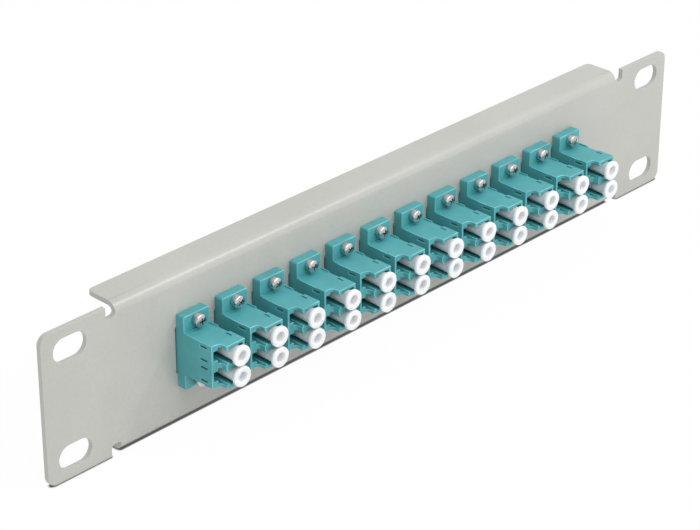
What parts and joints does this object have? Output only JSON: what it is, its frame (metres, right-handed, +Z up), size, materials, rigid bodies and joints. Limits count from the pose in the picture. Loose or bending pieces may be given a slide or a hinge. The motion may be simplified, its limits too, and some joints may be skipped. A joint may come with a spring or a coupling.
{
  "type": "fibre patch panel",
  "caption": "Folded sheet steel rack panel for small network cabinets with a row of screwed duplex fibre couplers, each port closed by a white dust plug",
  "frame": {"origin": "centre of the pattern of four rack slots, on the back face of the two ears, where the panel lies against the rack rails", "axes": "+X along the panel to the right as seen from the front, +Z up, -Y to the front, the way the front ports face"},
  "size_m": [0.254, 0.0342, 0.0444],
  "materials": {
    "panel_grey": "fine textured light grey powder coat",
    "coupler_aqua": "moulded aqua plastic with a soft sheen",
    "plug_white": "smooth white plastic",
    "fastener_steel": "bright nickel plated steel",
    "sleeve_bronze": "plain phosphor bronze"
  },
  "bodies": {
    "root": {"dust_plug_01_lower": "plug_white", "dust_plug_01_upper": "plug_white", "dust_plug_02_lower": "plug_white", "dust_plug_02_upper": "plug_white", "dust_plug_03_lower": "plug_white", "dust_plug_03_upper": "plug_white", "dust_plug_04_lower": "plug_white", "dust_plug_04_upper": "plug_white", "dust_plug_05_lower": "plug_white", "dust_plug_05_upper": "plug_white", "dust_plug_06_lower": "plug_white", "dust_plug_06_upper": "plug_white", "dust_plug_07_lower": "plug_white", "dust_plug_07_upper": "plug_white", "dust_plug_08_lower": "plug_white", "dust_plug_08_upper": "plug_white", "dust_plug_09_lower": "plug_white", "dust_plug_09_upper": "plug_white", "dust_plug_10_lower": "plug_white", "dust_plug_10_upper": "plug_white", "dust_plug_11_lower": "plug_white", "dust_plug_11_upper": "plug_white", "dust_plug_12_lower": "plug_white", "dust_plug_12_upper": "plug_white", "flange_screws_lower": "fastener_steel", "flange_screws_upper": "fastener_steel", "front_housing_01": "coupler_aqua", "front_housing_02": "coupler_aqua", "front_housing_03": "coupler_aqua", "front_housing_04": "coupler_aqua", "front_housing_05": "coupler_aqua", "front_housing_06": "coupler_aqua", "front_housing_07": "coupler_aqua", "front_housing_08": "coupler_aqua", "front_housing_09": "coupler_aqua", "front_housing_10": "coupler_aqua", "front_housing_11": "coupler_aqua", "front_housing_12": "coupler_aqua", "hex_nuts_lower": "fastener_steel", "hex_nuts_upper": "fastener_steel", "panel_plate": "panel_grey", "rear_dust_plugs_lower": "plug_white", "rear_dust_plugs_upper": "plug_white", "rear_housing_01": "coupler_aqua", "rear_housing_02": "coupler_aqua", "rear_housing_03": "coupler_aqua", "rear_housing_04": "coupler_aqua", "rear_housing_05": "coupler_aqua", "rear_housing_06": "coupler_aqua", "rear_housing_07": "coupler_aqua", "rear_housing_08": "coupler_aqua", "rear_housing_09": "coupler_aqua", "rear_housing_10": "coupler_aqua", "rear_housing_11": "coupler_aqua", "rear_housing_12": "coupler_aqua", "split_sleeves": "sleeve_bronze"}
  },
  "joints": []
}
